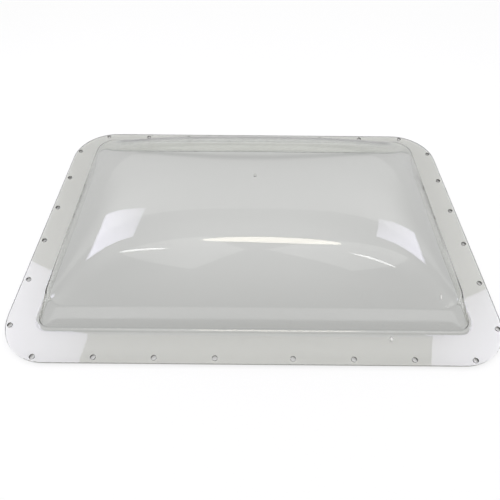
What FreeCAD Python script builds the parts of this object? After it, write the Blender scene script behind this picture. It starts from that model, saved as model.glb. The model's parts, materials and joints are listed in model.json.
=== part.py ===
"""Clear dome skylight for the roof of a caravan or camper.

One shell of polycarbonate sheet, heated and drawn up into a dome that keeps a
flat drilled flange all round, lies on four lengths of clear sealing strip.
Millimetres. X runs along the long side, Y along the short side, Z is up.
The origin is the middle of the underside of the sealing strips, on the roof.
"""

import FreeCAD, Part
import math
import os

import Sketcher
from FreeCAD import Placement, Rotation, Vector

doc = FreeCAD.newDocument("roof_skylight")

# Driving dimensions
SIZES = [
    ("flange_length", 667.0, "outside of the flange along X"),
    ("flange_width", 463.5, "outside of the flange along Y"),
    ("flange_corner", 67.0, "radius of the flange's corners"),
    ("sheet", 3.0, "thickness of the flange and the dome's walls"),
    ("crown_sheet", 2.5, "thickness at the apex, where the sheet has stretched"),
    ("edge_break", 0.4, "rounding of the trimmed edge of the flange"),
    ("dome_length", 581.4, "dome along X, at the top of the flange"),
    ("dome_width", 375.2, "dome along Y, at the top of the flange"),
    ("dome_corner", 18.0, "radius of the dome's corners there"),
    ("corner_growth", 0.45, "growth of that radius per millimetre of height"),
    ("wall_draft", 25.0, "lean of the walls from upright, in degrees"),
    ("shoulder_height", 34.0, "from the flange up to where the walls turn into the crown"),
    ("shoulder_round", 30.0, "outside radius of that turn"),
    ("apex_height", 106.0, "from the top of the flange to the apex of the crown"),
    ("fold_round", 4.5, "radius of the fold between wall and flange, on top"),
    ("long_square", 0.2, "share of the square in the crown's curve along X"),
    ("long_fourth", 0.3, "share of the fourth power, along X"),
    ("wide_square", 0.5, "share of the square in the crown's curve along Y"),
    ("apex_dimple", 0.3, "depth of the small witness mark at the apex"),
    ("dimple_ball", 6.0, "radius of the ball that presses the mark"),
    ("hole_bore", 7.0, "bore of the screw holes"),
    ("hole_inset", 7.5, "middle of a hole to the edge of the flange"),
    ("row_count", 4.0, "holes in each half of the front and rear rows"),
    ("row_gap", 99.5, "between the two middle holes of a row"),
    ("row_end", 51.55, "end of the flange to the last hole of a row"),
    ("column_count", 3.0, "holes in each half of the side columns"),
    ("column_gap", 69.9, "between the two middle holes of a column"),
    ("column_end", 51.6, "edge of the flange to the last hole of a column"),
    ("seal_thickness", 1.5, "thickness of the sealing strips"),
    ("seal_width", 38.0, "width of the sealing strips"),
    ("seal_inset", 1.0, "edge of the flange to the edge of a strip"),
]

sizes = doc.addObject("Spreadsheet::Sheet", "sizes")
for row, (alias, value, meaning) in enumerate(SIZES, start=1):
    sizes.set(f"A{row}", alias)
    sizes.set(f"B{row}", str(value))
    sizes.set(f"C{row}", meaning)
    sizes.setAlias(f"B{row}", alias)
doc.recompute()


def size(alias):
    """The value of one driving dimension."""
    return float(sizes.get(alias))


# Expressions that several sub-parts share
FLANGE_TOP = "(sizes.seal_thickness + sizes.sheet)"
WALL_LEAN = "tan(sizes.wall_draft * 1 deg)"
WALL_STEP = "(sizes.sheet / cos(sizes.wall_draft * 1 deg))"
ROW_PITCH = "((sizes.flange_length - sizes.row_gap) / 2 - sizes.row_end) / (sizes.row_count - 1)"
COLUMN_PITCH = "((sizes.flange_width - sizes.column_gap) / 2 - sizes.column_end) / (sizes.column_count - 1)"
OVERRUN = "(4 * sizes.sheet)"  # how far a cutting form runs past what it cuts

LEVEL = 0.01  # an edge that rises less than this is level
CROWN_REACH = 1.12  # the crown's patch runs past the shoulder, so that the walls cut it
CORNER_EDGE_START = 0.6  # share of the shoulder's height; the walls' corner edges start below it


def bind(thing, **expressions):
    """Bind properties of an object, with _ for the dots in their paths."""
    for path, expression in expressions.items():
        thing.setExpression(path.replace("_", "."), expression)


def origin_plane(body, role):
    """One of a body's own origin planes."""
    return next(feature for feature in body.Origin.OriginFeatures if feature.Role == role)


def rounded_rectangle(body, name, length, width, radius, height):
    """Sketch of a centred rectangle with round corners at a height above the body's floor."""
    sketch = body.newObject("Sketcher::SketchObject", name)
    sketch.AttachmentSupport = [(origin_plane(body, "XY_Plane"), "")]
    sketch.MapMode = "FlatFace"
    sketch.setExpression("AttachmentOffset.Base.z", height)
    # A first shape with the right topology, which the constraints then resize
    half_x, half_y, corner = 100.0, 60.0, 20.0
    in_x, in_y = half_x - corner, half_y - corner
    sketch.addGeometry([
        Part.LineSegment(Vector(-in_x, -half_y, 0), Vector(in_x, -half_y, 0)),
        Part.LineSegment(Vector(half_x, -in_y, 0), Vector(half_x, in_y, 0)),
        Part.LineSegment(Vector(in_x, half_y, 0), Vector(-in_x, half_y, 0)),
        Part.LineSegment(Vector(-half_x, in_y, 0), Vector(-half_x, -in_y, 0)),
    ])
    centres = [(in_x, -in_y), (in_x, in_y), (-in_x, in_y), (-in_x, -in_y)]
    for quarter, (x, y) in enumerate(centres):
        circle = Part.Circle(Vector(x, y, 0), Vector(0, 0, 1), corner)
        start = (quarter - 1) * math.pi / 2
        sketch.addGeometry(Part.ArcOfCircle(circle, start, start + math.pi / 2))
    rules = []
    for side in range(4):
        rules.append(Sketcher.Constraint("Tangent", side, 2, side + 4, 1))
        rules.append(Sketcher.Constraint("Tangent", side + 4, 2, (side + 1) % 4, 1))
        rules.append(Sketcher.Constraint("Vertical" if side % 2 else "Horizontal", side))
    for arc in (5, 6, 7):
        rules.append(Sketcher.Constraint("Equal", 4, arc))
    sketch.addConstraint(rules)
    dimensions = [
        ("corner", Sketcher.Constraint("Radius", 4, corner), radius),
        ("east", Sketcher.Constraint("DistanceX", -1, 1, 1, 1, half_x), f"({length}) / 2"),
        ("west", Sketcher.Constraint("DistanceX", 3, 1, -1, 1, half_x), f"({length}) / 2"),
        ("north", Sketcher.Constraint("DistanceY", -1, 1, 2, 1, half_y), f"({width}) / 2"),
        ("south", Sketcher.Constraint("DistanceY", 0, 1, -1, 1, half_y), f"({width}) / 2"),
    ]
    for label, constraint, expression in dimensions:
        index = sketch.addConstraint(constraint)
        sketch.renameConstraint(index, label)
        sketch.setExpression(f"Constraints.{label}", expression)
    return sketch


def boolean(kind, name, base, tool):
    """Part::Fuse, Part::Cut or Part::Common of two objects."""
    result = doc.addObject(f"Part::{kind}", name)
    result.Base = base
    result.Tool = tool
    return result


def rounded(name, base, radius, wanted):
    """Part::Fillet on the edges of an object that a test picks."""
    doc.recompute()
    fillet = doc.addObject("Part::Fillet", name)
    fillet.Base = base
    chosen = [index for index, edge in enumerate(base.Shape.Edges, start=1) if wanted(edge)]
    fillet.Edges = [(index, radius, radius) for index in chosen]
    return fillet


# Flange: a plate with round corners, its trimmed edge broken

plate = doc.addObject("PartDesign::Body", "flange_plate")
plate_sketch = rounded_rectangle(plate, "flange_outline", "sizes.flange_length", "sizes.flange_width",
                                 "sizes.flange_corner", "sizes.seal_thickness")
plate_pad = plate.newObject("PartDesign::Pad", "flange_pad")
plate_pad.Profile = plate_sketch
plate_pad.setExpression("Length", "sizes.sheet")
doc.recompute()

plate_break = plate.newObject("PartDesign::Fillet", "flange_edge_break")
rim = [f"Edge{index}" for index, edge in enumerate(plate_pad.Shape.Edges, start=1)
       if edge.BoundBox.ZLength < LEVEL]
plate_break.Base = (plate_pad, rim)
plate_break.setExpression("Radius", "sizes.edge_break")
plate.Tip = plate_break
doc.recompute()


# Forms of the dome: leaning walls under a crown, once for its outside, once for its inside

def wall_form(name, inset, dip):
    """Solid inside the leaning walls, set in from the outside ones, from a dip below
    the top of the flange to well over the apex."""
    body = doc.addObject("PartDesign::Body", name)
    sketches = []
    for level, rise in (("foot", f"(-{dip})"), ("top", f"(sizes.apex_height + {OVERRUN})")):
        back = f"({inset} + {rise} * {WALL_LEAN})"
        sketches.append(rounded_rectangle(
            body, f"{name}_{level}",
            f"sizes.dome_length - 2 * {back}", f"sizes.dome_width - 2 * {back}",
            f"sizes.dome_corner - {inset} + {rise} * sizes.corner_growth",
            f"{FLANGE_TOP} + {rise}"))
    loft = body.newObject("PartDesign::AdditiveLoft", f"{name}_loft")
    loft.Profile = sketches[0]
    loft.Sections = [sketches[1]]
    loft.Ruled = True
    body.Tip = loft
    return body


def bernstein(powers, reach):
    """Bernstein coefficients over -reach to reach of a polynomial given by its powers."""
    degree = len(powers) - 1
    coefficients = []
    for index in range(degree + 1):
        total = 0.0
        for power, weight in enumerate(powers):
            for ends in range(max(0, power - degree + index), min(index, power) + 1):
                share = math.comb(index, ends) * math.comb(degree - index, power - ends)
                total += weight * share * (-1) ** (power - ends) * reach ** power / math.comb(degree, power)
        coefficients.append(total)
    return coefficients


def crown_form(name, inset, shoulder, apex):
    """Solid under the crown: the height over the shoulder is one even polynomial
    along X times another along Y, and both fall from 1 at the apex to 0 at the shoulder."""
    half_x = size("dome_length") / 2 - inset
    half_y = size("dome_width") / 2 - inset
    square, fourth, wide = size("long_square"), size("long_fourth"), size("wide_square")
    along_x = bernstein([1, 0, -square, 0, -fourth, 0, square + fourth - 1], CROWN_REACH)
    along_y = bernstein([1, 0, -wide, 0, wide - 1], CROWN_REACH)
    patch = Part.BezierSurface()
    patch.increase(len(along_x) - 1, len(along_y) - 1)
    for i, across in enumerate(along_x):
        x = half_x * CROWN_REACH * (2 * i / (len(along_x) - 1) - 1)
        for j, deep in enumerate(along_y):
            y = half_y * CROWN_REACH * (2 * j / (len(along_y) - 1) - 1)
            z = flange_top + shoulder + (apex - shoulder) * across * deep
            patch.setPole(i + 1, j + 1, Vector(x, y, z))
    solid = doc.addObject("Part::Feature", name)
    solid.Shape = patch.toShape().extrude(Vector(0, 0, -2 * size("apex_height")))
    return solid


def dome_form(name, wall_inset, dip, crown_inset, shoulder, apex, turn):
    """Walls and crown in one solid, with the shoulder between them rounded."""
    walls = wall_form(f"{name}_walls", wall_inset, dip)
    crown = crown_form(f"{name}_crown", crown_inset, shoulder, apex)
    raw = boolean("Common", f"{name}_raw", walls, crown)
    lowest = flange_top + CORNER_EDGE_START * shoulder
    return rounded(name, raw, turn, lambda edge: min(end.Z for end in edge.Vertexes) > lowest)


sheet = size("sheet")
flange_top = size("seal_thickness") + sheet
draft = math.radians(size("wall_draft"))
shoulder_inset = size("shoulder_height") * math.tan(draft)
outside = dome_form("outside_form", "0", "sizes.sheet / 2", shoulder_inset,
                    size("shoulder_height"), size("apex_height"), size("shoulder_round"))
inside = dome_form("inside_form", WALL_STEP, "2 * sizes.sheet", shoulder_inset + sheet * math.cos(draft),
                   size("shoulder_height") - sheet * math.sin(draft),
                   size("apex_height") - size("crown_sheet"), size("shoulder_round") - sheet)


# Screw holes through the flange and the strips: two rows and two columns of drills

def drill(name, x, y):
    """Cylinder through everything at a place given by two expressions."""
    cylinder = doc.addObject("Part::Cylinder", name)
    bind(cylinder, Radius="sizes.hole_bore / 2", Height=f"{FLANGE_TOP} + 2 * {OVERRUN}",
         Placement_Base_x=x, Placement_Base_y=y, Placement_Base_z=f"-{OVERRUN}")
    return cylinder


drills = []
for side in ("", "-"):
    across = f"{side}(sizes.flange_width / 2 - sizes.hole_inset)"
    along = f"{side}(sizes.flange_length / 2 - sizes.hole_inset)"
    for half in ("", "-"):
        for step in range(round(size("row_count"))):
            x = f"{half}(sizes.row_gap / 2 + {step} * {ROW_PITCH})"
            drills.append(drill(f"row_drill_{len(drills)}", x, across))
        for step in range(round(size("column_count"))):
            y = f"{half}(sizes.column_gap / 2 + {step} * {COLUMN_PITCH})"
            drills.append(drill(f"column_drill_{len(drills)}", along, y))
all_drills = doc.addObject("Part::Compound", "all_drills")
all_drills.Links = drills


# Outer dome: plate and outside form less the inside form, folds rounded, drilled, marked

def on_fold(edge, height):
    """A level edge at the foot of the dome, at one height of the flange."""
    box = edge.BoundBox
    inside_flange = (max(box.XMax, -box.XMin) < (size("dome_length") + size("fold_round")) / 2
                     and max(box.YMax, -box.YMin) < (size("dome_width") + size("fold_round")) / 2)
    return inside_flange and box.ZLength < LEVEL and abs(box.ZMin - height) < LEVEL


blank = boolean("Fuse", "dome_blank", plate, outside)
shell = boolean("Cut", "dome_shell", blank, inside)
top_folds = rounded("dome_top_folds", shell, size("fold_round"), lambda edge: on_fold(edge, flange_top))
folds = rounded("dome_folds", top_folds, size("fold_round") + sheet,
                lambda edge: on_fold(edge, flange_top - sheet))
drilled = boolean("Cut", "dome_drilled", folds, all_drills)
ball = doc.addObject("Part::Sphere", "apex_ball")
bind(ball, Radius="sizes.dimple_ball",
     Placement_Base_z=f"{FLANGE_TOP} + sizes.apex_height + sizes.dimple_ball - sizes.apex_dimple")
dome = boolean("Cut", "outer_dome", drilled, ball)


# Sealing strips: a flat ring under the flange, drilled, cut into four lengths by mitred corners

ring = doc.addObject("PartDesign::Body", "seal_ring")
ring_outer = rounded_rectangle(ring, "seal_outer", "sizes.flange_length - 2 * sizes.seal_inset",
                               "sizes.flange_width - 2 * sizes.seal_inset",
                               "sizes.flange_corner - sizes.seal_inset", "0")
ring_pad = ring.newObject("PartDesign::Pad", "seal_pad")
ring_pad.Profile = ring_outer
ring_pad.setExpression("Length", "sizes.seal_thickness")
SEAL_BACK = "(sizes.seal_inset + sizes.seal_width)"
ring_inner = rounded_rectangle(ring, "seal_inner", f"sizes.flange_length - 2 * {SEAL_BACK}",
                               f"sizes.flange_width - 2 * {SEAL_BACK}",
                               f"sizes.flange_corner - {SEAL_BACK}", "0")
ring_pocket = ring.newObject("PartDesign::Pocket", "seal_opening")
ring_pocket.Profile = ring_inner
ring_pocket.Type = "ThroughAll"
ring_pocket.Midplane = True
ring.Tip = ring_pocket
drilled_ring = boolean("Cut", "seal_drilled", ring, all_drills)


def seal_strip(name, along, across, turn):
    """One length of the ring: the part in a wedge whose ends run at 45 degrees."""
    wedge = doc.addObject("Part::Wedge", f"{name}_mitre")
    depth = "2 * sizes.seal_width"
    bind(wedge, Xmin=f"-{along} / 2", Xmax=f"{along} / 2",
         X2min=f"-{along} / 2 + {depth}", X2max=f"{along} / 2 - {depth}",
         Ymin=f"-{across} / 2", Ymax=f"-{across} / 2 + {depth}",
         Zmin="0", Z2min="0", Zmax="sizes.seal_thickness", Z2max="sizes.seal_thickness")
    wedge.Placement = Placement(Vector(), Rotation(Vector(0, 0, 1), turn))
    return boolean("Common", name, drilled_ring, wedge)


strips = [
    seal_strip("seal_strip_front", "sizes.flange_length", "sizes.flange_width", 0),
    seal_strip("seal_strip_right", "sizes.flange_width", "sizes.flange_length", 90),
    seal_strip("seal_strip_rear", "sizes.flange_length", "sizes.flange_width", 180),
    seal_strip("seal_strip_left", "sizes.flange_width", "sizes.flange_length", 270),
]


# Check everything and write one file per sub-part

doc.recompute()
for thing in doc.Objects:
    broken = {"Invalid", "Error"} & set(thing.State)
    assert not broken, f"{thing.Label}: {thing.State}"

os.makedirs("parts", exist_ok=True)
for piece in [dome] + strips:
    shape = piece.Shape
    assert not shape.isNull() and shape.isValid(), f"{piece.Label} has no valid shape"
    assert len(shape.Solids) == 1, f"{piece.Label} is {len(shape.Solids)} solids"
    shape.exportStep(f"parts/{piece.Label}.step")
    print(piece.Label, round(shape.Volume), shape.optimalBoundingBox())
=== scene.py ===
"""Clear drawn roof dome for a camper, lying on its sealing strips on a white table.

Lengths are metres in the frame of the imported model: X along the long side, Y towards the
rear, Z up, with the origin on the underside of the sealing strips.
"""

import json
import math

import bpy
from mathutils import Matrix, Vector


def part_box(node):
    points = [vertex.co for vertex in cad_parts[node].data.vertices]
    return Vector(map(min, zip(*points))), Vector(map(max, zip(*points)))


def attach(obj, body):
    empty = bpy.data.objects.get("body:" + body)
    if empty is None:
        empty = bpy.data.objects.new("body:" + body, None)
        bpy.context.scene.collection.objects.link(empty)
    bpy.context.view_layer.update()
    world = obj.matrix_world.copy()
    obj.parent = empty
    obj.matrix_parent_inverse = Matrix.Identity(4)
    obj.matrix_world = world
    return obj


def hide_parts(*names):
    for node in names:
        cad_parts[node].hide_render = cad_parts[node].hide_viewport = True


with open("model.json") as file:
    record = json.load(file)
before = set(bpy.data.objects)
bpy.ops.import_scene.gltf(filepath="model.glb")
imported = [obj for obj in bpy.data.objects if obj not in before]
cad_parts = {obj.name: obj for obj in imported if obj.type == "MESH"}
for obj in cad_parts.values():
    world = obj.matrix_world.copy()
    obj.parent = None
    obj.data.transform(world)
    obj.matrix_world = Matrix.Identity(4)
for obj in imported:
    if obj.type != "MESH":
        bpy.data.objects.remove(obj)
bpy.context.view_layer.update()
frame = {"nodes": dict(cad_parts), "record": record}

MM = 0.001
WHITE = (1, 1, 1, 1)


# Sizes of the dome, from the frame where it holds them

dome_low, dome_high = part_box("outer_dome")
SHEET = 3.0 * MM
CROWN_SHEET = 2.5 * MM  # at the apex, where the sheet has stretched
FLANGE_TOP = dome_low[2] + SHEET
FLANGE_LENGTH = dome_high[0] - dome_low[0]
FLANGE_WIDTH = dome_high[1] - dome_low[1]
FLANGE_CORNER = 67.0 * MM
DOME_LENGTH = 581.0 * MM
DOME_WIDTH = 371.0 * MM
DOME_CORNER = 16.0 * MM
CORNER_GROWTH = 0.45  # growth of that radius with height
WALL_LEAN = math.tan(math.radians(23))
SHOULDER_HEIGHT = 34.0 * MM
SHOULDER_TURN = 3.5 * MM
APEX_HEIGHT = 106.0 * MM
FOLD_TURN = 1.2 * MM
COVE_REACH = 6.5 * MM  # from the start of the cove to the foot of the wall
COVE_RADIUS = 22.0 * MM
COVE_RUN = 8.0 * MM  # how far the cove's arc is followed from its start
MARK_RADIUS = 2.5 * MM
MARK_FLAT = 0.3 * MM  # radius of the level middle of the mark
MARK_DEPTH = 0.5 * MM
MARK_BORDER = 0.5 * MM  # finely divided sheet round the mark
HOLE_RADIUS = 3.5 * MM
DRILL_DEPTH = 20 * MM
SEAL_GAP = 0.03 * MM  # keeps the flange's underside just clear of the strips' upper face
MERGE_REACH = 0.001 * MM


# Tools

def add(tree, kind, settings=None, inputs=None):
    """Adds a node with its settings, and sets or links its inputs, named as the node shows them."""
    node = tree.nodes.new(kind)
    for name, value in (settings or {}).items():
        setattr(node, name, value)
    for key, value in (inputs or {}).items():
        named = [socket for socket in node.inputs if socket.enabled and socket.name == key]
        socket = node.inputs[key] if isinstance(key, int) else named[0]
        if isinstance(value, bpy.types.Node):
            value = next(output for output in value.outputs if output.enabled)
        if isinstance(value, bpy.types.NodeSocket):
            tree.links.new(value, socket)
        else:
            socket.default_value = value
    return node


def linear(code):
    """Linear RGBA of an sRGB hex colour."""
    channels = [int(code[at:at + 2], 16) / 255 for at in (1, 3, 5)]
    return [c / 12.92 if c <= 0.04045 else ((c + 0.055) / 1.055) ** 2.4 for c in channels] + [1.0]


def new_material(name):
    """A material of that name, and its node tree without any nodes."""
    material = bpy.data.materials.new(name)
    material.use_nodes = True
    material.node_tree.nodes.clear()
    return material, material.node_tree


def put(name, points, faces=(), material=None):
    """An object in the scene, with a mesh of those points and faces."""
    mesh = bpy.data.meshes.new(name)
    mesh.from_pydata(points, [], faces)
    if material is not None:
        mesh.materials.append(material)
    thing = bpy.data.objects.new(name, mesh)
    bpy.context.scene.collection.objects.link(thing)
    return thing


# Dome sheet as a rule

def drawn_dome_tree():
    """Node tree that draws the sheet up over drill points.

    A grid covers one quarter of the sheet: u runs round it, v from the flange's edge to the
    apex. Rings of round-cornered rectangles shrink from the flange's outline over the foot of
    the wall to the apex. Each ring's height is the lower of wall and crown, never under the
    flange and its shallow cove, with soft turns between them. The mark is pressed into the
    crown, the quarter mirrored, a sheet's thickness given to it and the holes drilled.
    """
    tree = bpy.data.node_groups.new("drawn dome", "GeometryNodeTree")
    tree.is_modifier = True

    def take(name, kind, value):
        socket = tree.interface.new_socket(name, in_out="INPUT", socket_type=f"NodeSocket{kind}")
        if value is not None:
            socket.default_value = value

    # An outline is half a length, half a width and a corner radius. It lies so far inside the
    # dome's foot, or outside it where that is negative. Inwards the radius grows with the height
    # of the wall, and outwards the outline runs parallel to the foot
    growth = CORNER_GROWTH / WALL_LEAN
    take("Drill Points", "Geometry", None)
    take("Flange Outline", "Vector", (FLANGE_LENGTH / 2, FLANGE_WIDTH / 2, FLANGE_CORNER))
    for name, inwards in (("Cove Outline", -8.0 * MM), ("Foot Outline", 1.0 * MM),
                          ("Crown Outline", 24.0 * MM)):
        take(name, "Vector", (DOME_LENGTH / 2 - inwards, DOME_WIDTH / 2 - inwards,
                              DOME_CORNER + max(-inwards, inwards * growth)))
    take("Mark Outline", "Vector", [MARK_RADIUS + MARK_BORDER] * 3)
    take("Foot Length", "Float", DOME_LENGTH)
    take("Wall Slope", "Float", 1 / WALL_LEAN)
    take("Cove Reach", "Float", COVE_REACH)
    take("Cove Radius", "Float", COVE_RADIUS)
    take("Crown Reach", "Vector", (DOME_LENGTH / 2 - SHOULDER_HEIGHT * WALL_LEAN,
                                   DOME_WIDTH / 2 - SHOULDER_HEIGHT * WALL_LEAN, 1.0))
    take("Shoulder Height", "Float", SHOULDER_HEIGHT)
    take("Apex Height", "Float", APEX_HEIGHT)
    take("Shoulder Turn", "Float", SHOULDER_TURN)
    take("Fold Turn", "Float", FOLD_TURN)
    take("Mark Radius", "Float", MARK_RADIUS)
    take("Mark Depth", "Float", MARK_DEPTH)
    take("Flange Top", "Float", FLANGE_TOP)
    take("Sheet", "Float", SHEET - SEAL_GAP)
    take("Crown Sheet", "Float", CROWN_SHEET)
    take("Hole Radius", "Float", HOLE_RADIUS)
    take("Material", "Material", None)
    tree.interface.new_socket("Geometry", in_out="OUTPUT", socket_type="NodeSocketGeometry")
    given = add(tree, "NodeGroupInput").outputs

    # Rows of the grid across the flange, the fold, the wall with its shoulder, the crown and
    # its mark. The grid runs from -0.5 to 0.5 both ways
    rows = (4, 36, 46, 46, 6)
    steps_round, steps_up = 72, sum(rows)
    grid_low, grid_high = -0.5, 0.5
    grid = add(tree, "GeometryNodeMeshGrid", None, {
        "Size X": grid_high - grid_low, "Size Y": grid_high - grid_low,
        "Vertices X": steps_round + 1, "Vertices Y": steps_up + 1})
    place = add(tree, "ShaderNodeSeparateXYZ", None, {
        "Vector": add(tree, "GeometryNodeInputPosition")})
    u, v = place.outputs["X"], place.outputs["Y"]

    # Along a ring, u runs up the short side, round the corner and back along the long side
    corner_from, corner_to = -0.15, 0.05
    turn = add(tree, "ShaderNodeMapRange", None, {
        "Value": u, "From Min": corner_from, "From Max": corner_to, "To Max": math.pi / 2})
    heading = add(tree, "ShaderNodeCombineXYZ", None, {
        "X": add(tree, "ShaderNodeMath", {"operation": "COSINE"}, {0: turn}),
        "Y": add(tree, "ShaderNodeMath", {"operation": "SINE"}, {0: turn})})
    towards = add(tree, "ShaderNodeCombineXYZ", None, {
        "X": add(tree, "ShaderNodeMapRange", None, {
            "Value": u, "From Min": corner_to, "From Max": grid_high,
            "To Min": 1.0, "To Max": 0.0}),
        "Y": add(tree, "ShaderNodeMapRange", None, {
            "Value": u, "From Min": grid_low, "From Max": corner_from})})

    ring, start = given["Flange Outline"], grid_low
    for count, outline in zip(rows, (
            given["Cove Outline"], given["Foot Outline"], given["Crown Outline"],
            given["Mark Outline"], (0.0, 0.0, 0.0))):
        end = start + count / steps_up
        share = add(tree, "ShaderNodeMapRange", None, {
            "Value": v, "From Min": start, "From Max": end})
        ring = add(tree, "ShaderNodeMix", {"data_type": "VECTOR"}, {
            "Factor": share, "A": ring, "B": outline})
        start = end
    ring_parts = add(tree, "ShaderNodeSeparateXYZ", None, {"Vector": ring})
    radius = ring_parts.outputs["Z"]
    arm = add(tree, "ShaderNodeVectorMath", {"operation": "SUBTRACT"}, {0: ring, 1: radius})
    bend = add(tree, "ShaderNodeVectorMath", {"operation": "SCALE"}, {
        "Vector": heading, "Scale": radius})
    plan = add(tree, "ShaderNodeVectorMath", {"operation": "MULTIPLY_ADD"}, {
        0: towards, 1: arm, 2: bend})

    # How far the ring has shrunk from the foot of the wall, negative outside it
    inwards = add(tree, "ShaderNodeMath", {"operation": "MULTIPLY_ADD"}, {
        0: given["Foot Length"], 1: 0.5,
        2: add(tree, "ShaderNodeMath", {"operation": "MULTIPLY"}, {
            0: ring_parts.outputs["X"], 1: -1.0})})
    wall = add(tree, "ShaderNodeMath", {"operation": "MULTIPLY"}, {
        0: inwards, 1: given["Wall Slope"]})
    # The cove lifts the flange a little before the fold, as an arc does at its start
    lead = add(tree, "ShaderNodeMath", {"operation": "ADD"}, {0: inwards, 1: given["Cove Reach"]})
    lead = add(tree, "ShaderNodeClamp", None, {"Value": lead, "Min": 0.0, "Max": COVE_RUN})
    lead = add(tree, "ShaderNodeMath", {"operation": "POWER"}, {0: lead, 1: 2.0})
    cove = add(tree, "ShaderNodeMath", {"operation": "DIVIDE"}, {
        0: lead, 1: add(tree, "ShaderNodeMath", {"operation": "MULTIPLY"}, {
            0: given["Cove Radius"], 1: 2.0})})
    share = add(tree, "ShaderNodeVectorMath", {"operation": "DIVIDE"}, {
        0: plan, 1: given["Crown Reach"]})
    square = add(tree, "ShaderNodeVectorMath", {"operation": "MULTIPLY"}, {0: share, 1: share})
    # Falls of the crown, as powers of the squares: along X 0.2, 0.3 and 0.5, along Y 0.5 and 0.5
    fall = add(tree, "ShaderNodeVectorMath", {"operation": "MULTIPLY_ADD"}, {
        0: square, 1: (-0.5, 0.0, 0.0), 2: (-0.3, -0.5, 0.0)})
    for falls in ((-0.2, -0.5, 0.0), (1.0, 1.0, 0.0)):
        fall = add(tree, "ShaderNodeVectorMath", {"operation": "MULTIPLY_ADD"}, {
            0: square, 1: fall, 2: falls})
    fall = add(tree, "ShaderNodeSeparateXYZ", None, {"Vector": fall})
    fall = add(tree, "ShaderNodeMath", {"operation": "MULTIPLY"}, {
        0: fall.outputs["X"], 1: fall.outputs["Y"]})
    crown = add(tree, "ShaderNodeMapRange", {"clamp": False}, {
        "Value": fall, "To Min": given["Shoulder Height"], "To Max": given["Apex Height"]})
    draw = add(tree, "ShaderNodeMath", {"operation": "SMOOTH_MIN"}, {
        0: wall, 1: crown, 2: given["Shoulder Turn"]})
    draw = add(tree, "ShaderNodeMath", {"operation": "SMOOTH_MAX"}, {
        0: draw, 1: cove, 2: given["Fold Turn"]})
    # The forming tool leaves a shallow round mark at the crown's middle
    mark = add(tree, "ShaderNodeVectorMath", {"operation": "LENGTH"}, {0: plan})
    mark = add(tree, "ShaderNodeMapRange", {"interpolation_type": "SMOOTHSTEP"}, {
        "Value": mark.outputs["Value"], "From Min": MARK_FLAT, "From Max": given["Mark Radius"],
        "To Min": given["Mark Depth"], "To Max": 0.0})
    draw = add(tree, "ShaderNodeMath", {"operation": "SUBTRACT"}, {0: draw, 1: mark})
    rise = add(tree, "ShaderNodeMath", {"operation": "ADD"}, {0: draw, 1: given["Flange Top"]})
    surface = add(tree, "ShaderNodeVectorMath", {"operation": "ADD"}, {
        0: plan, 1: add(tree, "ShaderNodeCombineXYZ", None, {"Z": rise})})
    sheet = add(tree, "GeometryNodeSetPosition", None, {"Geometry": grid, "Position": surface})

    for flip in ((-1.0, 1.0, 1.0), (1.0, -1.0, 1.0)):
        mirrored = add(tree, "GeometryNodeTransform", None, {"Geometry": sheet, "Scale": flip})
        mirrored = add(tree, "GeometryNodeFlipFaces", None, {"Mesh": mirrored})
        both = add(tree, "GeometryNodeJoinGeometry", None, {"Geometry": sheet})
        tree.links.new(mirrored.outputs[0], both.inputs[0])
        sheet = add(tree, "GeometryNodeMergeByDistance", None, {
            "Geometry": both, "Distance": MERGE_REACH})

    # The underside lies a sheet's thickness along the normal, less towards the apex
    height = add(tree, "ShaderNodeSeparateXYZ", None, {
        "Vector": add(tree, "GeometryNodeInputPosition")})
    thick = add(tree, "ShaderNodeMapRange", None, {
        "Value": height.outputs["Z"],
        "From Min": given["Shoulder Height"], "From Max": given["Apex Height"],
        "To Min": given["Sheet"], "To Max": given["Crown Sheet"]})
    down = add(tree, "ShaderNodeMath", {"operation": "MULTIPLY"}, {0: thick, 1: -1.0})
    depth = add(tree, "ShaderNodeVectorMath", {"operation": "SCALE"}, {
        "Vector": add(tree, "GeometryNodeInputNormal"), "Scale": down})
    kept = add(tree, "GeometryNodeCaptureAttribute", None, {"Geometry": sheet})
    kept.capture_items.new("VECTOR", "depth")
    tree.links.new(depth.outputs[0], kept.inputs["depth"])
    under = add(tree, "GeometryNodeExtrudeMesh", {"mode": "FACES"}, {
        "Mesh": kept, "Offset Scale": 0.0, "Individual": False})
    lowered = add(tree, "GeometryNodeSetPosition", None, {
        "Geometry": under.outputs["Mesh"], "Selection": under.outputs["Top"],
        "Offset": kept.outputs["depth"]})
    inner = add(tree, "GeometryNodeFlipFaces", None, {"Mesh": lowered})
    shell = add(tree, "GeometryNodeJoinGeometry", None, {"Geometry": sheet})
    tree.links.new(inner.outputs[0], shell.inputs[0])
    shell = add(tree, "GeometryNodeMergeByDistance", None, {
        "Geometry": shell, "Distance": MERGE_REACH})

    drill = add(tree, "GeometryNodeMeshCylinder", None, {
        "Vertices": 48, "Radius": given["Hole Radius"], "Depth": DRILL_DEPTH})
    drills = add(tree, "GeometryNodeInstanceOnPoints", None, {
        "Points": given["Drill Points"], "Instance": drill})
    drills = add(tree, "GeometryNodeRealizeInstances", None, {"Geometry": drills})
    drilled = add(tree, "GeometryNodeMeshBoolean",
                  {"operation": "DIFFERENCE", "solver": "MANIFOLD"},
                  {"Mesh 1": shell, "Mesh 2": drills})
    smooth = add(tree, "GeometryNodeSetShadeSmooth", None, {"Geometry": drilled})
    finish = add(tree, "GeometryNodeSetMaterial", None, {
        "Geometry": smooth, "Material": given["Material"]})
    whole = add(tree, "GeometryNodeRealizeInstances", None, {"Geometry": finish})
    add(tree, "NodeGroupOutput", None, {"Geometry": whole})
    return tree


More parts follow.
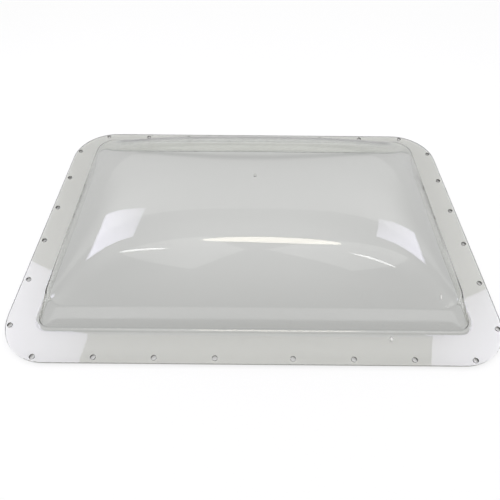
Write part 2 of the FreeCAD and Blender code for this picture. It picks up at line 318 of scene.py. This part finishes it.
def drill_points():
    """Middles of the screw holes, from the bolt patterns of the record."""
    points = []
    for mount in frame["record"]["mounts"]:
        if mount["kind"] == "bolt_pattern":
            x = mount["dims"]["spacing_x_mm"] * MM / 2
            y = mount["dims"]["spacing_y_mm"] * MM / 2
            points += [(i * x, j * y, FLANGE_TOP - SHEET / 2) for i in (-1, 1) for j in (-1, 1)]
    return points


def make_dome(material):
    """The drawn and drilled sheet, as a plain mesh with sharp edges where the faces turn."""
    dome = put("clear_dome", drill_points())
    tree = drawn_dome_tree()
    modifier = dome.modifiers.new("drawn dome", "NODES")
    modifier.node_group = tree
    material_input = next(item for item in tree.interface.items_tree if item.name == "Material")
    modifier[material_input.identifier] = material
    drawn = dome.evaluated_get(bpy.context.evaluated_depsgraph_get())
    dome.data = bpy.data.meshes.new_from_object(drawn)
    dome.modifiers.clear()
    dome.data.set_sharp_from_angle(angle=math.radians(35))
    return dome


# Materials

POLYCARBONATE_IOR = 1.585
SILICONE_IOR = 1.41
CUT_MARGIN = 10 * MM  # the cut faces lie beyond the foot of the dome by more than this
CUT_UPRIGHT = 0.9  # and the upward part of their normals is less than this
FRONT_FOLD = (-0.46 * DOME_WIDTH, -0.4 * DOME_WIDTH)  # where the line of painted shade at the front fold runs out, along Y
# Middles and half sizes of a pale spot on the front of the flange, and of a painted glint at
# the right end of the front shoulder
PALE_SPOT_AND_GLINT = (((180.5 * MM, -196.3 * MM, FLANGE_TOP), (3.6 * MM, 5.0 * MM, 1.5 * MM)),
          ((241.0 * MM, -156.7 * MM, FLANGE_TOP + 41.5 * MM), (1.6 * MM, 6.0 * MM, 5.0 * MM)))


def fold_shade_and_mark_ring(tree, place):
    """Share of darkening: a thin line of painted shade at the front fold's foot, and a ring round
    the mark.
    """
    from_mark = add(tree, "ShaderNodeVectorMath", {"operation": "DISTANCE"}, {
        0: place, 1: (0.0, 0.0, FLANGE_TOP + APEX_HEIGHT)}).outputs["Value"]
    place_parts = add(tree, "ShaderNodeSeparateXYZ", None, {"Vector": place}).outputs
    in_front = add(tree, "ShaderNodeMapRange", None, {
        "Value": place_parts["Y"], "From Min": FRONT_FOLD[0], "From Max": FRONT_FOLD[1],
        "To Min": 1.0, "To Max": 0.0})
    darkened = 0.0
    # A measure, where it counts from, the darkening's share, and the millimetres over which the
    # darkening sets in and ends
    for value, origin, share, rise, end in (
            (place_parts["Z"], FLANGE_TOP, in_front, (0.03, 0.15), (0.3, 0.6)),
            (from_mark, 0.0, 1.0, (0.9, 1.5), (2.0, 2.6))):
        starts, ends = (add(tree, "ShaderNodeMapRange", {"interpolation_type": "SMOOTHSTEP"}, {
            "Value": value, "From Min": origin + low * MM, "From Max": origin + high * MM})
            for low, high in (rise, end))
        band = add(tree, "ShaderNodeMath", {"operation": "SUBTRACT", "use_clamp": True}, {
            0: starts, 1: ends})
        darkened = add(tree, "ShaderNodeMath", {"operation": "MULTIPLY_ADD"}, {
            0: band, 1: share, 2: darkened})
    return darkened


def cut_faces(tree, place):
    """Share and grey of the faces cut across the flange, at its edge and in the holes."""
    beyond = add(tree, "ShaderNodeVectorMath", {"operation": "ABSOLUTE"}, {0: place})
    beyond = add(tree, "ShaderNodeVectorMath", {"operation": "SUBTRACT"}, {
        0: beyond, 1: (DOME_LENGTH / 2 + CUT_MARGIN, DOME_WIDTH / 2 + CUT_MARGIN, 1.0)})
    beyond = add(tree, "ShaderNodeVectorMath", {"operation": "MAXIMUM"}, {
        0: beyond, 1: (0.0, 0.0, 0.0)})
    beyond = add(tree, "ShaderNodeVectorMath", {"operation": "LENGTH"}, {0: beyond})
    beyond = add(tree, "ShaderNodeMath", {"operation": "GREATER_THAN"}, {
        0: beyond.outputs["Value"], 1: 0.0})
    facing = add(tree, "ShaderNodeVectorMath", {"operation": "ABSOLUTE"}, {
        0: add(tree, "ShaderNodeNewGeometry").outputs["True Normal"]})
    facing = add(tree, "ShaderNodeSeparateXYZ", None, {"Vector": facing})
    across = add(tree, "ShaderNodeMath", {"operation": "LESS_THAN"}, {
        0: facing.outputs["Z"], 1: CUT_UPRIGHT})
    # Painted shade: the cut faces turn a darker grey the more they face the ends of the dome
    endwise_shade = add(tree, "ShaderNodeMapRange", None, {
        "Value": facing.outputs["X"], "From Min": 0.3, "From Max": 0.9})
    grey = add(tree, "ShaderNodeMix", {"data_type": "RGBA"}, {
        "Factor": endwise_shade, "A": linear("#ACACA8"), "B": linear("#5C5C5A")})
    cut = add(tree, "ShaderNodeMath", {"operation": "MULTIPLY"}, {0: beyond, 1: across})
    return cut, grey


def pale_spot_and_glint(tree, place):
    """Share of the pale spot and of the painted glint, which fade towards their rims."""
    spot_and_glint = 0.0
    for middle, halves in PALE_SPOT_AND_GLINT:
        reach = add(tree, "ShaderNodeVectorMath", {"operation": "SUBTRACT"}, {0: place, 1: middle})
        reach = add(tree, "ShaderNodeVectorMath", {"operation": "DIVIDE"}, {0: reach, 1: halves})
        reach = add(tree, "ShaderNodeVectorMath", {"operation": "LENGTH"}, {0: reach})
        spot = add(tree, "ShaderNodeMapRange", {"interpolation_type": "SMOOTHSTEP"}, {
            "Value": reach.outputs["Value"], "From Min": 0.2, "From Max": 1.0,
            "To Min": 0.9, "To Max": 0.0})
        spot_and_glint = add(tree, "ShaderNodeMath", {"operation": "ADD"}, {0: spot, 1: spot_and_glint})
    return spot_and_glint


def clear_polycarbonate():
    """Drawn polycarbonate sheet: glossy on both faces and nearly clear, greyer where light runs
    along inside it, with the soft waves and fine peel that drawing leaves in its mirror images."""
    material, tree = new_material("clear drawn polycarbonate")
    place = add(tree, "ShaderNodeTexCoord").outputs["Object"]
    # Waves about 70 mm long and 0.1 mm high from the drawing, then peel 4 mm long
    waves = add(tree, "ShaderNodeTexNoise", None, {
        "Vector": place, "Scale": 1 / (70 * MM), "Detail": 1.0})
    peel = add(tree, "ShaderNodeTexNoise", None, {
        "Vector": place, "Scale": 1 / (4 * MM), "Detail": 0.0})
    surface = add(tree, "ShaderNodeBump", None, {"Height": waves, "Distance": 0.10 * MM})
    surface = add(tree, "ShaderNodeBump", None, {
        "Height": peel, "Distance": 0.003 * MM, "Normal": surface})
    # Faint wipe marks, longer along the dome, take the edge off the gloss in patches
    wiped = add(tree, "ShaderNodeMapping", None, {"Vector": place, "Scale": (0.25, 1.0, 1.0)})
    wiped = add(tree, "ShaderNodeTexNoise", None, {
        "Vector": wiped, "Scale": 1 / (18 * MM), "Detail": 4.0})
    wiped = add(tree, "ShaderNodeMapRange", None, {
        "Value": wiped, "From Min": 0.45, "From Max": 0.75, "To Min": 0.0, "To Max": 0.045})
    # Painted shade darkens the body along the foot of the front fold, and a ring round the mark
    # darkens too
    body = add(tree, "ShaderNodeMix", {"data_type": "RGBA"}, {
        "Factor": fold_shade_and_mark_ring(tree, place), "A": linear("#F8F9F6"), "B": linear("#DADAD6")})
    glass = add(tree, "ShaderNodeBsdfPrincipled", None, {
        "Base Color": body, "Roughness": wiped, "IOR": POLYCARBONATE_IOR,
        "Transmission Weight": 1.0, "Normal": surface})
    # Steep walls throw off more of the light that would reach the table
    steep = add(tree, "ShaderNodeLayerWeight", None, {"Blend": 0.5}).outputs["Facing"]
    steep = add(tree, "ShaderNodeMapRange", None, {
        "Value": steep, "From Min": 0.35, "From Max": 0.8})
    shade = add(tree, "ShaderNodeMix", {"data_type": "RGBA"}, {
        "Factor": steep, "A": linear("#CDCDCD"), "B": linear("#B2B2B2")})
    through = add(tree, "ShaderNodeBsdfTransparent", None, {"Color": shade})
    light = add(tree, "ShaderNodeLightPath")
    passing = add(tree, "ShaderNodeMath", {"operation": "MAXIMUM"}, {
        0: light.outputs["Is Shadow Ray"], 1: light.outputs["Is Diffuse Ray"]})
    # Cut faces, the pale spot and the painted glint are matt. The cut faces are painted darker
    # towards the ends of the dome, as painted shade
    cut, grey = cut_faces(tree, place)
    spot_and_glint = pale_spot_and_glint(tree, place)
    # The glint at the right end of the front shoulder is a painted highlight, drawn as a pale matt
    # spot
    pale = add(tree, "ShaderNodeMix", {"data_type": "RGBA"}, {
        "Factor": spot_and_glint, "A": grey, "B": linear("#F2F2EF")})
    matt = add(tree, "ShaderNodeBsdfPrincipled", None, {
        "Base Color": pale, "Roughness": 0.5, "IOR": POLYCARBONATE_IOR})
    matt_share = add(tree, "ShaderNodeMath", {"operation": "MAXIMUM"}, {0: cut, 1: spot_and_glint})
    glass = add(tree, "ShaderNodeMixShader", None, {0: matt_share, 1: glass, 2: matt})
    # Light caught between the faces leaves the sheet after three reflections, and dimmed
    caught = add(tree, "ShaderNodeMath", {"operation": "GREATER_THAN"}, {
        0: light.outputs["Glossy Depth"], 1: 2.5})
    leaving = add(tree, "ShaderNodeBsdfTransparent", None, {"Color": linear("#484848")})
    glass = add(tree, "ShaderNodeMixShader", None, {0: caught, 1: glass, 2: leaving})
    either = add(tree, "ShaderNodeMixShader", None, {0: passing, 1: glass, 2: through})
    inside = add(tree, "ShaderNodeVolumeAbsorption", None, {
        "Color": linear("#C6CBC6"), "Density": 14.0})
    add(tree, "ShaderNodeOutputMaterial", None, {"Surface": either, "Volume": inside})
    return material


def clear_silicone():
    """Extruded clear silicone: soft satin skin with a fine grain, a little cloudy."""
    material, tree = new_material("clear silicone strip")
    place = add(tree, "ShaderNodeTexCoord").outputs["Object"]
    cloud = add(tree, "ShaderNodeTexNoise", None, {
        "Vector": place, "Scale": 1 / (12 * MM), "Detail": 3.0})
    tone = add(tree, "ShaderNodeMix", {"data_type": "RGBA"}, {
        "Factor": cloud, "A": linear("#FEFDFC"), "B": linear("#FBFAF8")})
    skin = add(tree, "ShaderNodeTexNoise", None, {
        "Vector": place, "Scale": 1 / (1.5 * MM), "Detail": 2.0})
    surface = add(tree, "ShaderNodeBump", None, {"Height": skin, "Distance": 0.02 * MM})
    glass = add(tree, "ShaderNodeBsdfPrincipled", None, {
        "Base Color": tone, "Roughness": 0.3, "IOR": SILICONE_IOR,
        "Transmission Weight": 1.0, "Specular IOR Level": 0.1, "Normal": surface})
    through = add(tree, "ShaderNodeBsdfTransparent", None, {"Color": linear("#FEFEFC")})
    light = add(tree, "ShaderNodeLightPath")
    passing = add(tree, "ShaderNodeMath", {"operation": "MAXIMUM"}, {
        0: light.outputs["Is Shadow Ray"], 1: light.outputs["Is Diffuse Ray"]})
    either = add(tree, "ShaderNodeMixShader", None, {0: passing, 1: glass, 2: through})
    add(tree, "ShaderNodeOutputMaterial", None, {"Surface": either})
    return material


SEEN_THROUGH_SHARE = 0.3  # share of plain white in the table as the sheet shows it


def white_table(name, camera_share):
    """White table that keeps the dome's shadow, and shows the camera that share of plain white."""
    material, tree = new_material(name)
    place = add(tree, "ShaderNodeTexCoord").outputs["Object"]
    mottle = add(tree, "ShaderNodeTexNoise", None, {
        "Vector": place, "Scale": 1 / (3 * MM), "Detail": 2.0})
    tone = add(tree, "ShaderNodeMix", {"data_type": "RGBA"}, {
        "Factor": mottle, "A": linear("#F7F7F7"), "B": linear("#F1F1F1")})
    lit = add(tree, "ShaderNodeBsdfDiffuse", None, {"Color": tone})
    plain = add(tree, "ShaderNodeEmission", None, {"Color": WHITE, "Strength": 1.0})
    light = add(tree, "ShaderNodeLightPath")
    seen = add(tree, "ShaderNodeMath", {"operation": "MAXIMUM"}, {
        0: light.outputs["Is Camera Ray"], 1: light.outputs["Is Glossy Ray"]})
    seen = add(tree, "ShaderNodeMath", {"operation": "MAXIMUM"}, {
        0: seen, 1: light.outputs["Is Transmission Ray"]})
    # Far from the dome the table goes over into the white of the backdrop
    near = add(tree, "ShaderNodeMath", {"operation": "MULTIPLY_ADD"}, {
        0: light.outputs["Is Camera Ray"], 1: camera_share - SEEN_THROUGH_SHARE,
        2: SEEN_THROUGH_SHARE})
    far = add(tree, "ShaderNodeVectorMath", {"operation": "LENGTH"}, {0: place})
    far = add(tree, "ShaderNodeMapRange", {"interpolation_type": "SMOOTHSTEP"}, {
        "Value": far.outputs["Value"], "From Min": 0.8, "From Max": 2.5,
        "To Min": near, "To Max": 1.0})
    share = add(tree, "ShaderNodeMath", {"operation": "MULTIPLY"}, {0: seen, 1: far})
    both = add(tree, "ShaderNodeMixShader", None, {0: share, 1: lit, 2: plain})
    add(tree, "ShaderNodeOutputMaterial", None, {"Surface": both})
    return material


# Pieces

dome = make_dome(clear_polycarbonate())
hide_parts("outer_dome")
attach(dome, "root")

seal_finish = clear_silicone()
for side in ("front", "rear", "left", "right"):
    strip = frame["nodes"][f"seal_strip_{side}"]
    strip.data.materials.clear()
    strip.data.materials.append(seal_finish)


# Table, just under the sealing strips

TABLE_REACH = 6.0
TABLE_LEVEL = -0.2 * MM
table = put("table",
            [(x * TABLE_REACH, y * TABLE_REACH, TABLE_LEVEL)
             for x, y in ((-1, -1), (1, -1), (1, 1), (-1, 1))],
            [(0, 1, 2, 3)], white_table("white table", camera_share=0.6))

# The part of the table under the flange, which the camera sees only down the screw holes. Its
# eight corners, in millimetres, lie just inside the flange's outline
SHADED_LEVEL = -0.15 * MM
UNDER_FLANGE = ((282, 229), (-282, 229), (-330, 182), (-330, -182),
                (-282, -229), (282, -229), (330, -182), (330, 182))
shaded = put("shaded_table", [(x * MM, y * MM, SHADED_LEVEL) for x, y in UNDER_FLANGE],
             [tuple(range(len(UNDER_FLANGE)))], white_table("shaded table", camera_share=0.0))


# A grey card that rises gently behind the dome and at its two sides, for its mirror image only:
# it keeps the white table out of the steep sides, which would shine white against the clear sheet

def mirrored_grey():
    """Plain grey card, there for mirrored rays only."""
    material, tree = new_material("grey card")
    material.cycles.emission_sampling = "NONE"
    card = add(tree, "ShaderNodeEmission", None, {"Color": WHITE, "Strength": 0.7})
    clear = add(tree, "ShaderNodeBsdfTransparent")
    light = add(tree, "ShaderNodeLightPath")
    mirrored = add(tree, "ShaderNodeMath", {"operation": "GREATER_THAN"}, {
        0: light.outputs["Glossy Depth"], 1: 0.5})
    both = add(tree, "ShaderNodeMixShader", None, {0: mirrored, 1: clear, 2: card})
    add(tree, "ShaderNodeOutputMaterial", None, {"Surface": both})
    return material


CARD_EDGES = ((5 * MM, 0.5 * MM), (250 * MM, 160 * MM))  # gap to the flange, and height
REAR, LEFT, RIGHT = 0, 1, 3
card_points = [(x * (FLANGE_LENGTH / 2 + gap), y * (FLANGE_WIDTH / 2 + gap), height)
               for gap, height in CARD_EDGES
               for x, y in ((1, 1), (-1, 1), (-1, -1), (1, -1))]
card_faces = [(i, (i + 1) % 4, (i + 1) % 4 + 4, i + 4) for i in (REAR, LEFT, RIGHT)]
card = put("grey_card", card_points, card_faces, mirrored_grey())
card.visible_camera = card.visible_diffuse = card.visible_shadow = False


# Light: two soft boxes at the sides, three strips and two pale panes overhead, and a room that
# is darker in front

def panel(name, middle, turn, width, height, glow, color, shape="RECTANGLE",
          brighter=(0.0, 0.0)):
    """Area lamp facing along its own -Z, with a glow that doesn't depend on its size.

    brighter is how much the glow gains across its width and its height.
    """
    lamp = bpy.data.lights.new(name, "AREA")
    lamp.shape = shape
    lamp.size, lamp.size_y = width, height
    lamp.energy = glow * math.pi * width * height
    lamp.color = color
    if any(brighter):
        lamp.use_nodes = True
        tree = lamp.node_tree
        tree.nodes.clear()
        across = add(tree, "ShaderNodeNewGeometry").outputs["Parametric"]
        across = add(tree, "ShaderNodeVectorMath", {"operation": "SUBTRACT"}, {
            0: across, 1: (0.5, 0.5, 0.5)})
        level = add(tree, "ShaderNodeVectorMath", {"operation": "DOT_PRODUCT"}, {
            0: across, 1: (*brighter, 0.0)})
        level = add(tree, "ShaderNodeMath", {"operation": "ADD"}, {
            0: level.outputs["Value"], 1: 1.0})
        shine = add(tree, "ShaderNodeEmission", None, {"Strength": level})
        add(tree, "ShaderNodeOutputLight", None, {"Surface": shine})
    holder = bpy.data.objects.new(name, lamp)
    holder.matrix_world = Matrix.Translation(middle) @ turn.to_4x4()
    holder.visible_camera = False
    bpy.context.scene.collection.objects.link(holder)


def facing(yaw, pitch, roll):
    """Turn of a lamp that faces along +X, swung by the yaw, tipped down by the pitch and rolled."""
    return (Matrix.Rotation(math.radians(yaw), 3, "Z")
            @ Matrix.Rotation(math.radians(pitch), 3, "Y")
            @ Matrix.Rotation(math.radians(roll), 3, "X")
            @ Matrix(((0, 0, -1), (-1, 0, 0), (0, 1, 0))))


BOX_COLOR = (0.84, 0.81, 1.0)
panel("left soft box", (-0.749, 0.163, 0.735), facing(-16.0, 26.9, -12.4),
      width=0.443, height=0.478, glow=2.35, color=BOX_COLOR, brighter=(0.6, -0.6))
panel("right soft box", (0.637, 0.078, 0.524), facing(161.7, 22.6, 0.5),
      width=0.264, height=0.379, glow=2.15, color=BOX_COLOR, brighter=(-0.6, -0.6))
CEILING = 1.6
for name, (x, y), turn, length, width, glow, color in (
        ("warm strip light", (0.145, -0.315), -2.0, 0.92, 0.16, 3.1, (1.0, 0.93, 0.78)),
        ("left strip light", (-0.89, -0.44), -13.0, 0.62, 0.05, 3.2, (1, 1, 1)),
        ("right strip light", (0.99, -0.67), -16.2, 0.62, 0.06, 3.0, (1, 1, 1))):
    panel(name, (x, y, CEILING), Matrix.Rotation(math.radians(turn), 3, "Z"),
          length, width, glow, color, "ELLIPSE")


def ceiling_glow():
    """Pale pane in the ceiling that adds a little to mirrored rays only."""
    material, tree = new_material("ceiling pane")
    material.cycles.emission_sampling = "NONE"
    glow = add(tree, "ShaderNodeEmission", None, {"Color": WHITE, "Strength": 0.5})
    both = add(tree, "ShaderNodeAddShader", None, {
        0: glow, 1: add(tree, "ShaderNodeBsdfTransparent")})
    add(tree, "ShaderNodeOutputMaterial", None, {"Surface": both})
    return material


PANE_DROP = 1 * MM  # under the strips in the ceiling
pane_finish = ceiling_glow()
for name, outline in (
        ("left ceiling pane", ((-1.18, -0.38), (-0.28, -0.2), (-0.04, -0.62), (-0.42, -1.35))),
        ("right ceiling pane", ((0.08, -0.61), (0.45, -0.26), (1.75, -0.17), (0.75, -1.25)))):
    pane = put(name, [(x, y, CEILING - PANE_DROP) for x, y in outline], [(0, 1, 2, 3)],
               pane_finish)
    pane.visible_camera = pane.visible_diffuse = pane.visible_shadow = False

# Brightness of the room from front to rear as (turn, level) pairs, over the middle and at the
# sides. The turn is that of the direction about the long side: 0 in front, 0.5 overhead, 1 at
# the rear
ROOM_MIDDLE = (
    (0.02, 0.5), (0.075, 0.69), (0.16, 0.95), (0.28, 1.15), (0.455, 1.5), (0.56, 1.5),
    (0.62, 1.34), (0.69, 1.29), (0.698, 1.58), (0.785, 1.47), (0.86, 1.3), (0.93, 1.05),
    (0.99, 1.0))
ROOM_SIDES = (
    (0.02, 0.25), (0.075, 0.3), (0.16, 0.52), (0.28, 0.62), (0.455, 1.1), (0.56, 1.05),
    (0.62, 1.05), (0.69, 1.1), (0.698, 1.58), (0.785, 1.6), (0.86, 1.4), (0.93, 1.1),
    (0.99, 0.9))
BRIGHTEST = 2.0
RAIL_HEIGHT = 0.45  # upward part of its direction, at the middle of the rear wall
RAIL_FALL = 1.65  # how fast that falls towards the ends
RAIL_HALF_WIDTH = 0.07
RAIL_LEVEL = 0.45  # share of the room's brightness left at the middle of the rail


def studio():
    """The room as the sheet mirrors it, and a white backdrop where the camera looks past it."""
    world = bpy.data.worlds.new("studio")
    bpy.context.scene.world = world
    world.use_nodes = True
    world.node_tree.nodes.clear()
    tree = world.node_tree
    direction = add(tree, "ShaderNodeSeparateXYZ", None, {
        "Vector": add(tree, "ShaderNodeTexCoord").outputs["Generated"]})
    across = add(tree, "ShaderNodeVectorMath", {"operation": "NORMALIZE"}, {
        0: add(tree, "ShaderNodeCombineXYZ", None, {
            "Y": direction.outputs["Y"], "Z": direction.outputs["Z"]})})
    across = add(tree, "ShaderNodeSeparateXYZ", None, {"Vector": across})
    across = add(tree, "ShaderNodeMapRange", None, {
        "Value": across.outputs["Y"], "From Min": -1.0, "From Max": 1.0})
    rooms = []
    for levels in (ROOM_MIDDLE, ROOM_SIDES):
        ramp = add(tree, "ShaderNodeValToRGB", None, {"Fac": across})
        while len(ramp.color_ramp.elements) < len(levels):
            ramp.color_ramp.elements.new(1.0)
        for element, (turn, level) in zip(ramp.color_ramp.elements, levels):
            element.position = turn
            element.color = [level / BRIGHTEST] * 3 + [1.0]
        rooms.append(ramp)
    aside = add(tree, "ShaderNodeMath", {"operation": "ABSOLUTE"}, {0: direction.outputs["X"]})
    sideways = add(tree, "ShaderNodeMapRange", {"interpolation_type": "SMOOTHSTEP"}, {
        "Value": aside, "From Min": 0.1, "From Max": 0.55})
    walls = add(tree, "ShaderNodeMix", {"data_type": "RGBA"}, {
        "Factor": sideways, "A": rooms[0], "B": rooms[1]})
    # A dark rail along the rear wall, lower towards its ends
    rail = add(tree, "ShaderNodeMath", {"operation": "POWER"}, {0: direction.outputs["X"], 1: 2.0})
    rail = add(tree, "ShaderNodeMath", {"operation": "MULTIPLY_ADD"}, {
        0: rail, 1: RAIL_FALL, 2: direction.outputs["Z"]})
    rail = add(tree, "ShaderNodeMath", {"operation": "SUBTRACT"}, {0: rail, 1: RAIL_HEIGHT})
    rail = add(tree, "ShaderNodeMath", {"operation": "ABSOLUTE"}, {0: rail})
    rail = add(tree, "ShaderNodeMapRange", {"interpolation_type": "SMOOTHSTEP"}, {
        "Value": rail, "From Min": 0.0, "From Max": RAIL_HALF_WIDTH,
        "To Min": RAIL_LEVEL, "To Max": 1.0})
    front = add(tree, "ShaderNodeMath", {"operation": "LESS_THAN"}, {
        0: direction.outputs["Y"], 1: 0.0})
    rail = add(tree, "ShaderNodeMath", {"operation": "MAXIMUM"}, {0: rail, 1: front})
    # The room's two ends are dimmer
    ends = add(tree, "ShaderNodeMapRange", {"interpolation_type": "SMOOTHSTEP"}, {
        "Value": aside, "From Min": 0.6, "From Max": 0.85, "To Min": 1.0, "To Max": 0.65})
    rail = add(tree, "ShaderNodeMath", {"operation": "MULTIPLY"}, {0: rail, 1: ends})
    walls = add(tree, "ShaderNodeVectorMath", {"operation": "SCALE"}, {
        "Vector": walls, "Scale": rail})
    lit = add(tree, "ShaderNodeBackground", None, {"Color": walls, "Strength": BRIGHTEST})
    backdrop = add(tree, "ShaderNodeBackground", None, {"Color": WHITE, "Strength": 1.0})
    light = add(tree, "ShaderNodeLightPath")
    direct = add(tree, "ShaderNodeMath", {"operation": "LESS_THAN"}, {
        0: light.outputs["Glossy Depth"], 1: 0.5})
    through = add(tree, "ShaderNodeMath", {"operation": "MULTIPLY"}, {
        0: light.outputs["Is Transmission Ray"], 1: direct})
    seen = add(tree, "ShaderNodeMath", {"operation": "MAXIMUM"}, {
        0: light.outputs["Is Camera Ray"], 1: through})
    sky = add(tree, "ShaderNodeMixShader", None, {0: seen, 1: lit, 2: backdrop})
    add(tree, "ShaderNodeOutputWorld", None, {"Surface": sky})


studio()


# Camera, at the photograph's place: looking down 52.5 degrees from in front

SENSOR_WIDTH = 36.0
FOCAL_PIXELS = 402.2
PICTURE_PIXELS = 500
CAMERA_PLACE = (-6.1 * MM, -425.8 * MM, 488.3 * MM + FLANGE_TOP)
CAMERA_CLIP = 0.01
pitch, roll = math.radians(52.51), math.radians(0.49)

camera_data = bpy.data.cameras.new("camera")
camera_data.sensor_width = SENSOR_WIDTH
camera_data.lens = SENSOR_WIDTH * FOCAL_PIXELS / PICTURE_PIXELS
camera_data.clip_start = CAMERA_CLIP
camera = bpy.data.objects.new("camera", camera_data)
bpy.context.scene.collection.objects.link(camera)
back = Vector((0, -math.cos(pitch), math.sin(pitch)))
along = Vector((1, 0, 0))
upright = back.cross(along)
right = along * math.cos(roll) + upright * math.sin(roll)
up = upright * math.cos(roll) - along * math.sin(roll)
camera.matrix_world = (Matrix.Translation(CAMERA_PLACE)
                       @ Matrix((right, up, back)).transposed().to_4x4())
bpy.context.scene.camera = camera
bpy.context.scene.view_settings.view_transform = "Standard"
